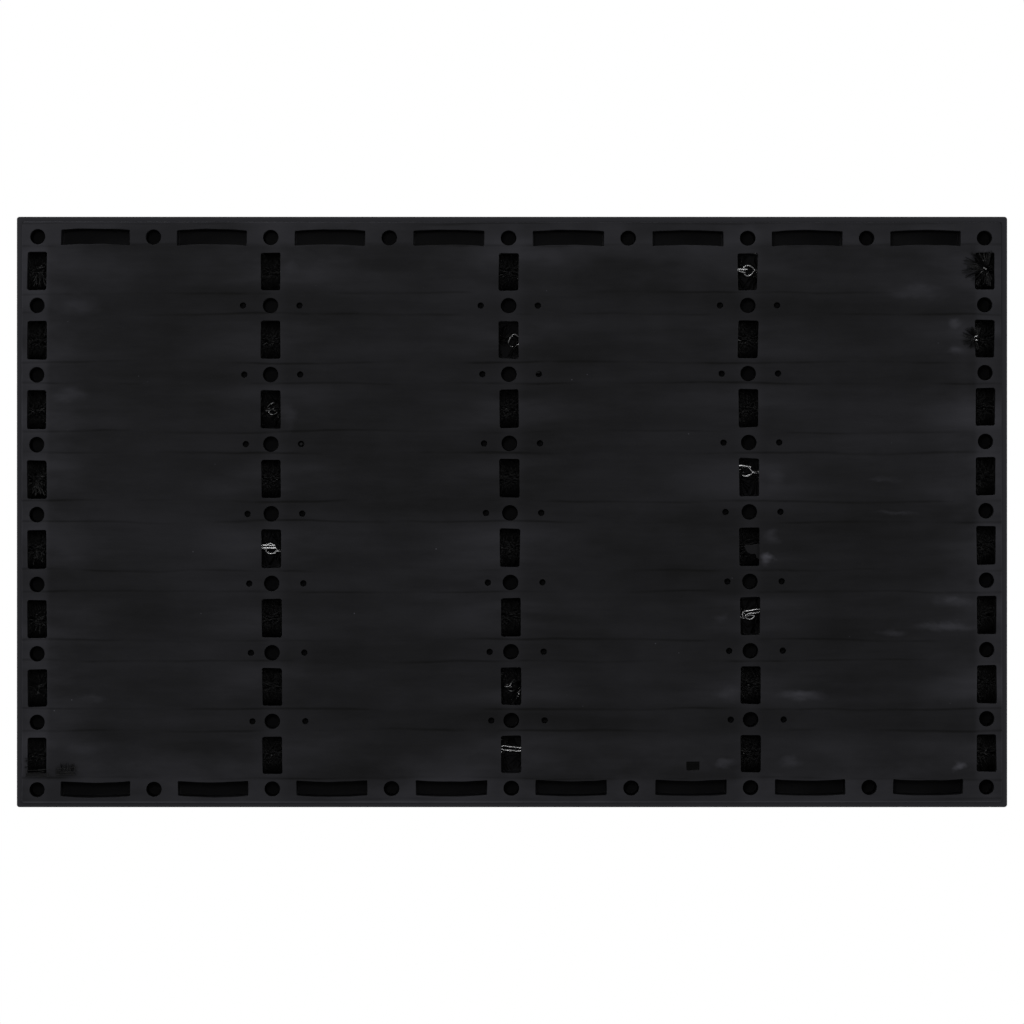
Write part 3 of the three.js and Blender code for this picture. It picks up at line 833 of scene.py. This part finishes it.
def bristle_tree():
    """Geometry nodes that make one brush's bristles from its place and sizes."""
    tree = bpy.data.node_groups.new("brush_bristles", "GeometryNodeTree")
    sizes = ["Start", "End", "Row", "Wire Height", "Reach", "Thickness", "Per Metre", "Twist Pitch"]
    sizes += ["Scatter", "Half Width", "Floor Depth", "Line Pitch", "First Line", "Tunnel Half Width"]
    sizes += ["Tunnel Half Height", "Tunnel End", "Window Bristles", "Meeting", "Bare", "Cover"]
    for name in sizes:
        tree.interface.new_socket(name, in_out="INPUT", socket_type="NodeSocketFloat")
    tree.interface.new_socket("Seed", in_out="INPUT", socket_type="NodeSocketInt")
    tree.interface.new_socket("Material", in_out="INPUT", socket_type="NodeSocketMaterial")
    tree.interface.new_socket("Geometry", in_out="OUTPUT", socket_type="NodeSocketGeometry")
    nodes = Link(tree)
    given = tree.nodes.new("NodeGroupInput")
    size = {o.name: Link(tree, o) for o in given.outputs if o.name}

    def chance(low, high, salt):
        limits = {2: low, 3: high, "Seed": size["Seed"] + salt}
        return nodes.node("FunctionNodeRandomValue", limits, output=1, data_type="FLOAT")

    def keep(geometry, name, value, data_type="FLOAT", domain="POINT"):
        stored = {"Geometry": geometry, "Name": name, "Value": value}
        kind = "GeometryNodeStoreNamedAttribute"
        return nodes.node(kind, stored, data_type=data_type, domain=domain)

    def kept(name):
        return nodes.node("GeometryNodeInputNamedAttribute", {"Name": name}, data_type="FLOAT")

    # The roots along the wire, in a double spiral, and more behind each window, that were pressed flat
    index = nodes.node("GeometryNodeInputIndex")
    line = (index / size["Window Bristles"]).maths("FLOOR")
    spiral_x = size["Start"] - (index + chance(0.0, 1.0, 1)) / size["Per Metre"]
    window_x = size["First Line"] - line * size["Line Pitch"] + chance(-0.0095, 0.0095, 1)
    half_turn = index.maths("MODULO", 2.0) * pi
    spiral_turn = spiral_x / size["Twist Pitch"] * (2 * pi) + half_turn
    spiral_turn = spiral_turn + (chance(-1.0, 1.0, 2) + chance(-1.0, 1.0, 3)) * size["Scatter"]
    window_turn = chance(-1.35, 1.35, 2) + pi
    groups = []
    for count, root_x, turn, lean, bend in (
        ((size["Start"] - size["End"]) * size["Per Metre"], spiral_x, spiral_turn, 1.0, 0.0),
        (size["Window Bristles"] * 5.0, window_x, window_turn, 1.5, 0.35),
    ):
        roots = nodes.node("GeometryNodePoints", {"Count": count})
        for name, value in (
            ("root", root_x),
            ("turn", turn),
            ("trim", chance(0.94, 1.0, 4)),
            ("shade", chance(0.0, 0.9, 5)),
            ("lean", chance(-1.0, 1.0, 6) * lean),
            ("sway", chance(-1.0, 1.0, 7)),
            ("bend", chance(0.0, 1.0, 8) * (1 - bend) + bend),
        ):
            roots = keep(roots, name, value)
        groups.append(roots)
    roots = nodes.node("GeometryNodeJoinGeometry", {"Geometry": groups[0]})
    tree.links.new(groups[1].socket, roots.socket.node.inputs["Geometry"])

    # Most of those that point at the channel's floor can't be seen, and are left out, as are those
    # past the brush's ends, and those that would hide the loop where two brushes meet
    to_line = (kept("root") + size["First Line"]).maths("PINGPONG", size["Line Pitch"] / 2)
    floorwards = kept("turn").maths("COSINE").maths("LESS_THAN", -0.2)
    away = to_line.maths("GREATER_THAN", 0.013)
    dropped = floorwards * away * chance(0.0, 1.0, 9).maths("LESS_THAN", 0.8)
    past = kept("root").maths("GREATER_THAN", size["Start"])
    past = past + kept("root").maths("LESS_THAN", size["End"])
    from_meeting = (kept("root") - size["Meeting"]).maths("ABSOLUTE")
    visible = kept("turn").maths("COSINE").maths("LESS_THAN", 0.45)
    opened = from_meeting.maths("LESS_THAN", size["Bare"]) * visible
    opened = opened * chance(0.0, 1.0, 10).maths("GREATER_THAN", size["Cover"])
    gone = dropped + past + opened
    roots = nodes.node("GeometryNodeDeleteGeometry", {"Geometry": roots, "Selection": gone}, domain="POINT")

    # One three-sided bristle, then a copy at each root
    rod = {"Vertices": 3, "Side Segments": 2, "Radius": 1.0, "Depth": 1.0}
    rod = nodes.node("GeometryNodeMeshCylinder", rod, fill_type="NGON")
    spot = nodes.node("GeometryNodeInputPosition")
    for k, name in enumerate(("rod_x", "rod_y", "rod_z")):
        rod = keep(rod, name, spot.part(k))
    brush = nodes.node("GeometryNodeInstanceOnPoints", {"Points": roots, "Instance": rod})
    brush = nodes.node("GeometryNodeRealizeInstances", {"Geometry": brush})

    # Where each point of each bristle lies: straight out from the wire, turned aside by the rubber
    along = kept("rod_z") + 0.5
    length = size["Reach"] * kept("trim") * along
    turned = kept("turn")
    sine, cosine = turned.maths("SINE"), turned.maths("COSINE")
    from_line = (kept("root") + size["First Line"]).maths("PINGPONG", size["Line Pitch"] / 2)
    loose = from_line.spread(0.0100, 0.0130)
    curl = kept("sway") * along * along * 0.0024
    y = length * sine + curl * cosine
    z = length * cosine - curl * sine
    sunk = (0.0 - size["Floor Depth"] - z).maths("MAXIMUM", 0.0)
    y = y + y.maths("SIGN") * sunk
    z = z + sunk
    beyond = (y.maths("ABSOLUTE") - size["Half Width"]).maths("MAXIMUM", 0.0)
    y = y - y.maths("SIGN") * beyond
    z = z + beyond * 0.9
    folded_y = (length * sine).maths("MAXIMUM", 0.0 - size["Tunnel Half Width"])
    folded_y = folded_y.maths("MINIMUM", size["Tunnel Half Width"])
    rise = along.maths("POWER", 0.6) * (0.45 + kept("bend") * 0.55)
    folded_z = size["Tunnel Half Height"] * cosine * rise
    y = folded_y + (y - folded_y) * loose
    z = folded_z + (z - folded_z) * loose
    x = kept("root") + kept("lean") * length * (0.12 + (1 - loose) * 0.5)
    x = x.maths("MAXIMUM", 0.0 - size["Tunnel End"]).maths("MINIMUM", size["Tunnel End"])
    radius = size["Thickness"] / 2
    x = x + kept("rod_x") * radius
    y = y + kept("rod_y") * radius * cosine
    z = z - kept("rod_y") * radius * sine
    place = nodes.node("ShaderNodeCombineXYZ", {0: x, 1: y + size["Row"], 2: z + size["Wire Height"]})
    brush = nodes.node("GeometryNodeSetPosition", {"Geometry": brush, "Position": place})
    across = kept("shade") + (kept("rod_x") * 0.5 + 0.5) * 0.05 + (kept("rod_y") * 0.5 + 0.5) * 0.05
    flat_place = nodes.node("ShaderNodeCombineXYZ", {0: across, 1: along})
    for name in ("StrandMap", "OFBake"):
        brush = keep(brush, name, flat_place, "FLOAT2", "CORNER")
    for name in ("root", "turn", "trim", "shade", "lean", "sway", "bend", "rod_x", "rod_y", "rod_z"):
        brush = nodes.node("GeometryNodeRemoveAttribute", {"Geometry": brush, "Name": name})
    brush = nodes.node("GeometryNodeSetShadeSmooth", {"Geometry": brush})
    brush = nodes.node("GeometryNodeSetMaterial", {"Geometry": brush, "Material": size["Material"]})
    nodes.node("NodeGroupOutput", {"Geometry": brush})
    return tree


def black_bristle():
    """Extruded black plastic: each bristle a slightly different black, glossy along its length, and
    scuffed paler towards the cut tip."""
    made, nodes = material_named("black_bristle")
    place = nodes.node("ShaderNodeUVMap", uv_map="StrandMap")
    across = place.part(0)
    worn = place.part(1).spread(0.75, 1.0)
    spot = nodes.node("ShaderNodeTexCoord", output="Object")
    trodden = {"Value": spot.part(2), "From Min": 0.014, "From Max": 0.025}
    trodden = nodes.node("ShaderNodeMapRange", trodden)
    dirt = spot.noise(38.0, 3.0)
    pale = 0.1 + place.noise(14.0, 1.0) * 0.5 + worn * (0.2 + across * 0.25)
    pale = pale + trodden * (0.35 + dirt * 0.9) * across * 1.6
    tone = pale.between((0.0013, 0.0013, 0.0017), (0.0148, 0.0148, 0.0155))
    nodes.surface({"Base Color": tone, "Roughness": 0.4 + worn * 0.2, "Specular IOR Level": 0.3})
    return made


def add_mesh(target, extra):
    """Joins an object's mesh to the target's."""
    bm = bmesh.new()
    bm.from_mesh(target.data)
    bm.from_mesh(extra.data)
    bm.to_mesh(target.data)
    bm.free()
    bpy.data.objects.remove(extra)
    target.data.materials.clear()
    target.data.materials.append(bristle_black)
    target.data.polygons.foreach_set("material_index", [0] * len(target.data.polygons))


def burst(middle, count, facing, spread, reach, seed):
    """Bristles that stand out of a window from the wire's end, and lie over the underside."""
    rng = np.random.default_rng(seed)
    paths = []
    for k in range(count):
        turn = facing + rng.uniform(-spread, spread)
        out = Vector((cos(turn), sin(turn), 0))
        far = reach * rng.uniform(0.25, 1.0) ** 0.5 * (0.7 + 0.3 * cos(turn - facing) ** 2)
        lay = rng.uniform(0.0004, 0.0012)
        start = middle + out * 0.0006
        bowed = Vector((-out.y, out.x, 0)) * rng.uniform(-0.0016, 0.0016)
        over = Vector((start.x, start.y, -lay)) + out * far * 0.35
        tip = Vector((start.x, start.y, -lay * 0.7)) + out * far + bowed
        paths.append(rounded([start, over, over.lerp(tip, 0.5) + bowed * 0.3, tip], 3))
    return paths


def strays():
    """The bristles of the last row that were caught under the mat's corner when it was laid down."""
    rng = np.random.default_rng(81)
    paths = []
    for k in range(22):
        inner = k % 2 == 0
        x = (0.3685 if inner else 0.3455) + rng.uniform(-0.0008, 0.0008)
        y = -0.1965 + rng.uniform(-0.0031, 0.0031)
        far = -rng.uniform(0.013, 0.0185) if inner else -rng.uniform(0.012, 0.0165)
        slope = rng.uniform(-0.0006, 0.0014)
        depth = -rng.uniform(0.0004, 0.0012)
        middle = (x + far * 0.5, y + slope * 0.3, depth - 0.0001)
        ends = [(x, y, depth), middle, (x + far, y + slope, depth * 0.8)]
        paths.append(rounded([Vector(p) for p in ends], 3))
    for k in range(16):
        x = rng.uniform(0.3300, 0.3460)
        y = -0.1941
        depth = -rng.uniform(0.0004, 0.0010)
        tip = Vector((x + rng.uniform(-1, 1) * 0.001, y + rng.uniform(0.002, 0.0055), depth))
        paths.append([Vector((x, y - 0.001, depth)), tip])
    for k in range(7):
        y = rng.uniform(-0.1925, -0.1845)
        tip = Vector((0.3685 + rng.uniform(0, 0.0012), y - rng.uniform(0, 0.002), -0.0006))
        paths.append([Vector((0.3665, y, 0.0004)), tip])
    return paths


def poking(row, count, low, high, seed):
    """The tips of bristles that the rim of the row's +X window has turned back towards its mouth."""
    rng = np.random.default_rng(seed)
    middle = Vector((line_x[0], row_y[row], 0))
    paths = []
    for k in range(count):
        start = middle + Vector((rng.uniform(-0.004, 0.004), rng.uniform(-0.003, 0.003), 0.0045))
        tip = Vector((rng.uniform(-0.0068, 0.0035), rng.uniform(low, high), rng.uniform(0.0004, 0.0022)))
        tip += middle
        paths.append(rounded([start, start.lerp(tip, 0.5) + Vector((0, 0, 0.0008)), tip], 3))
    return paths


# Row, how many, from where to where along Y, and seed
TURNED_BACK = [(0, 30, -0.012, 0.007, 21), (2, 22, -0.003, 0.008, 22), (3, 52, -0.013, 0.006, 23)]
TURNED_BACK += [(4, 24, -0.012, 0.005, 24), (5, 30, -0.011, 0.010, 25), (6, 16, -0.010, 0.011, 26)]
escaped = {(row, "first"): poking(row, *tips) for row, *tips in TURNED_BACK}
escaped[7, "first"] = strays()
escaped[0, "second"] = burst(Vector((-0.3618, 0.1862, 0.003)), 110, 0.0, 1.9, 0.0195, 5)
escaped[1, "second"] = burst(Vector((-0.3535, 0.1318, 0.002)), 70, 0.1, 1.9, 0.0118, 6)

bristle_maker = bristle_tree()
bristle_black = black_bristle()
brush_sizes = {
    "Wire Height": wire_z,
    "Thickness": BRISTLE,
    "Per Metre": BRISTLES_PER_METRE,
    "Twist Pitch": TWIST_PITCH,
    "Scatter": SPIRAL_SCATTER,
    "Half Width": channel_width / 2 - HOUSE_GAP,
    "Floor Depth": wire_z - WEB - HOUSE_GAP,
    "Line Pitch": column_pitch,
    "First Line": line_x[0],
    "Tunnel Half Width": TUNNEL_WIDTH / 2 - HOUSE_GAP,
    "Tunnel Half Height": (ROOF - WEB) / 2 - HOUSE_GAP,
    "Tunnel End": line_x[0] + WINDOW_LENGTH / 2 - HOUSE_GAP,
    "Window Bristles": WINDOW_BRISTLES,
    "Bare": BARE,
    "Material": bristle_black,
}
for r, y in enumerate(row_y):
    for which in ("first", "second"):
        node = f"bristles_row{r + 1}_{which}"
        low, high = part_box(node)
        values = {"Start": high.x, "End": low.x, "Row": y, "Reach": high.z - wire_z, **brush_sizes}
        values |= {"Meeting": line_x[MEETING_LINES[r]], "Cover": COVER[r]}
        values["Seed"] = 10 * r + (0 if which == "first" else 5)
        brush = f"brush_row{r + 1}_{which}"
        brush = new_object(brush, bpy.data.meshes.new(brush))
        maker = brush.modifiers.new("bristles", "NODES")
        maker.node_group = bristle_maker
        for socket in bristle_maker.interface.items_tree:
            if socket.in_out == "INPUT":
                maker[socket.identifier] = values[socket.name]
        flat_mesh(brush)
        if (r, which) in escaped:
            add_mesh(brush, sweep("strays", escaped[r, which], BRISTLE / 2, 3))
        settle(brush)
        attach(brush, "root")
        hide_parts(node)
